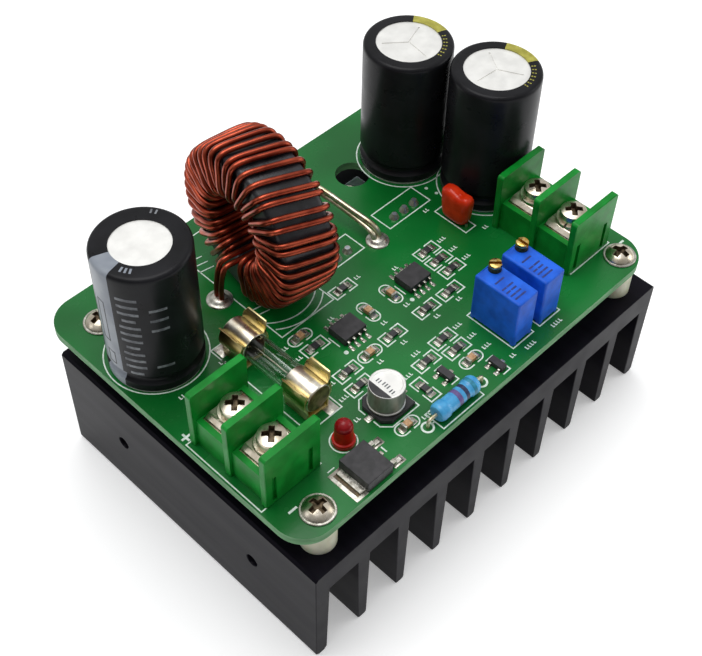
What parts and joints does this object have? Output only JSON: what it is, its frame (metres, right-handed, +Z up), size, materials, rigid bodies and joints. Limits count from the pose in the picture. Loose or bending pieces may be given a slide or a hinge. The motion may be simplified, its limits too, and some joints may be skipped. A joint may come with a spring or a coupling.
{
  "type": "boost converter module",
  "caption": "Step-up voltage converter: circuit board with toroidal inductor, capacitors, fuse, trimmers and screw terminals, held on spacers above a finned heatsink.",
  "frame": {"origin": "under the middle of the whole footprint, level with the fin tips", "axes": "+X along the row of fins from the input terminals to the output terminals, +Y along the fins towards the inductor's edge, +Z up"},
  "size_m": [0.086, 0.0644, 0.0619],
  "materials": {
    "anodised_black": "matte black anodised",
    "board_green": "gloss solder mask",
    "nylon": "natural white",
    "screw_steel": "nickel plated",
    "can_aluminium": "bare",
    "sleeve_dark": "shrunk sleeve",
    "core_dark": "matte coated iron powder",
    "copper_wire": "enamelled copper",
    "terminal_green": "moulded",
    "contact_metal": "tinned",
    "clear_glass": "clear",
    "fuse_metal": "nickel plated",
    "clip_brass": "bright",
    "trimmer_blue": "moulded",
    "trimmer_brass": "satin",
    "film_red": "dipped",
    "base_black": "moulded",
    "lamp_red": "tinted clear",
    "resistor_blue": "lacquered",
    "package_black": "moulded",
    "chip_dark": "glazed",
    "chip_tan": "ceramic",
    "pad_grey": "soft",
    "solder": "bright"
  },
  "bodies": {
    "module": {"heatsink": "anodised_black", "circuit_board": "board_green", "board_spacers": "nylon", "board_screws": "screw_steel", "input_capacitor_can": "can_aluminium", "input_capacitor_sleeve": "sleeve_dark", "rear_output_capacitor_can": "can_aluminium", "rear_output_capacitor_sleeve": "sleeve_dark", "front_output_capacitor_can": "can_aluminium", "front_output_capacitor_sleeve": "sleeve_dark", "inductor_core": "core_dark", "inductor_winding_1": "copper_wire", "inductor_winding_2": "copper_wire", "input_terminal_housing": "terminal_green", "input_contact_1": "contact_metal", "input_contact_2": "contact_metal", "output_terminal_housing": "terminal_green", "output_contact_1": "contact_metal", "output_contact_2": "contact_metal", "fuse_tube": "clear_glass", "fuse_cap_1": "fuse_metal", "fuse_cap_2": "fuse_metal", "fuse_wire": "fuse_metal", "fuse_clip_1": "clip_brass", "fuse_clip_2": "clip_brass", "current_trimmer_body": "trimmer_blue", "voltage_trimmer_body": "trimmer_blue", "film_capacitor": "film_red", "surface_capacitor_can": "can_aluminium", "surface_capacitor_base": "base_black", "indicator_lamp": "lamp_red", "axial_resistor": "resistor_blue", "regulator": "package_black", "control_chip_1": "package_black", "control_chip_2": "package_black", "small_transistor_1": "package_black", "small_transistor_2": "package_black", "chip_resistors": "chip_dark", "chip_capacitors": "chip_tan", "power_transistor": "package_black", "rectifier": "package_black", "transistor_pad": "pad_grey", "rectifier_pad": "pad_grey", "package_screws": "screw_steel", "solder_joints": "solder"},
    "input_terminal_1": {"input_clamp_1": "contact_metal", "input_screw_1": "screw_steel"},
    "input_terminal_2": {"input_clamp_2": "contact_metal", "input_screw_2": "screw_steel"},
    "output_terminal_1": {"output_clamp_1": "contact_metal", "output_screw_1": "screw_steel"},
    "output_terminal_2": {"output_clamp_2": "contact_metal", "output_screw_2": "screw_steel"},
    "current_adjuster": {"current_trimmer_screw": "trimmer_brass"},
    "voltage_adjuster": {"voltage_trimmer_screw": "trimmer_brass"}
  },
  "joints": [
    {"name": "input_terminal_1_lift", "type": "slide", "parent": "module", "child": "input_terminal_1", "axis": [0, 0, 1], "range_m": [0, 0.002]},
    {"name": "input_terminal_2_lift", "type": "slide", "parent": "module", "child": "input_terminal_2", "axis": [0, 0, 1], "range_m": [0, 0.002]},
    {"name": "output_terminal_1_lift", "type": "slide", "parent": "module", "child": "output_terminal_1", "axis": [0, 0, 1], "range_m": [0, 0.002]},
    {"name": "output_terminal_2_lift", "type": "slide", "parent": "module", "child": "output_terminal_2", "axis": [0, 0, 1], "range_m": [0, 0.002]},
    {"name": "current_adjuster_turn", "type": "hinge", "parent": "module", "child": "current_adjuster", "pos_m": [0.01165, -0.01895, 0.042], "axis": [0, 0, 1], "continuous": true},
    {"name": "voltage_adjuster_turn", "type": "hinge", "parent": "module", "child": "voltage_adjuster", "pos_m": [0.0184, -0.01895, 0.042], "axis": [0, 0, 1], "continuous": true}
  ]
}
